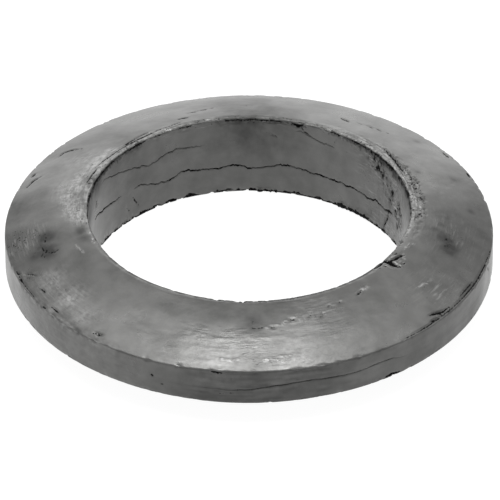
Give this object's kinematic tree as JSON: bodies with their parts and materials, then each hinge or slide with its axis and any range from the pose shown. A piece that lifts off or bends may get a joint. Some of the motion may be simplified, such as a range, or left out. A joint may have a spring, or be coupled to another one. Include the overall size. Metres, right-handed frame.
{
  "type": "exhaust doughnut gasket",
  "caption": "Pressed graphite ring with a straight bore, a short straight rim and two domed, tapering faces that seal a flared exhaust pipe joint.",
  "frame": {"origin": "centre of the bore, on the plane of the lower land that the ring rests on", "axes": "+Z along the bore axis, up through the ring; -Y faces the viewer of the picture"},
  "size_m": [0.078, 0.078, 0.0144],
  "materials": {
    "graphite": "pressed graphite, satin grey with burnished patches and dark fissures"
  },
  "bodies": {
    "root": {"graphite_ring": "graphite"}
  },
  "joints": []
}
